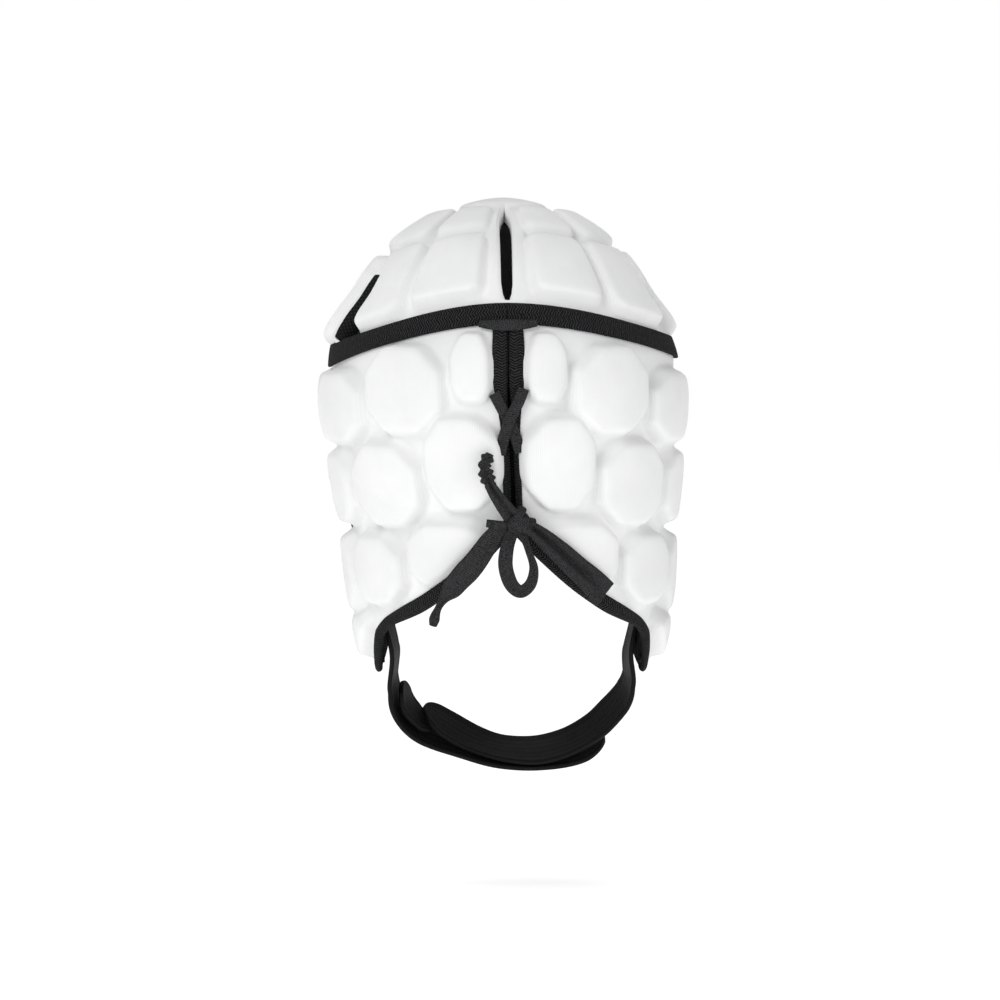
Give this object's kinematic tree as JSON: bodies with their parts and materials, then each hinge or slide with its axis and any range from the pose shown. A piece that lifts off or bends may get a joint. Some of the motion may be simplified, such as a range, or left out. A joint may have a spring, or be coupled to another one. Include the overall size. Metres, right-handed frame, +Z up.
{
  "type": "rugby scrum cap",
  "caption": "Padded head guard with raised foam pads, a banded crown, a laced back slit with a bow, ear holes and a hook-and-loop chin strap.",
  "frame": {"origin": "top of the head inside the crown, where the cap sits on a head", "axes": "+Z up, +Y towards the face opening, +X towards the wearer's right"},
  "size_m": [0.1849, 0.2101, 0.289],
  "materials": {
    "padded_knit": "matt white stretch knit over moulded foam pads",
    "lining": "matt black mesh lining",
    "binding": "charcoal ribbed elastic binding",
    "strap": "black loop-faced webbing with a slight sheen",
    "lace": "charcoal flat knit tape"
  },
  "bodies": {
    "root": {"crown_panel": "padded_knit", "crown_lining": "lining", "crown_band": "binding", "side_panel_left": "padded_knit", "side_panel_right": "padded_knit", "side_lining_left": "lining", "side_lining_right": "lining", "back_binding_left": "binding", "back_binding_right": "binding", "nape_binding_left": "binding", "nape_binding_right": "binding", "face_binding_left": "binding", "face_binding_right": "binding", "ear_binding_left": "binding", "ear_binding_right": "binding", "chin_strap_left": "strap", "chin_strap_right": "strap", "closure_tab": "strap", "lace_bar": "lace", "lace_cross_over": "lace", "lace_cross_under": "lace", "lace_knot": "lace", "lace_tail_up": "lace", "lace_tail_left": "lace", "lace_tail_right": "lace", "lace_loop": "lace"}
  },
  "joints": []
}
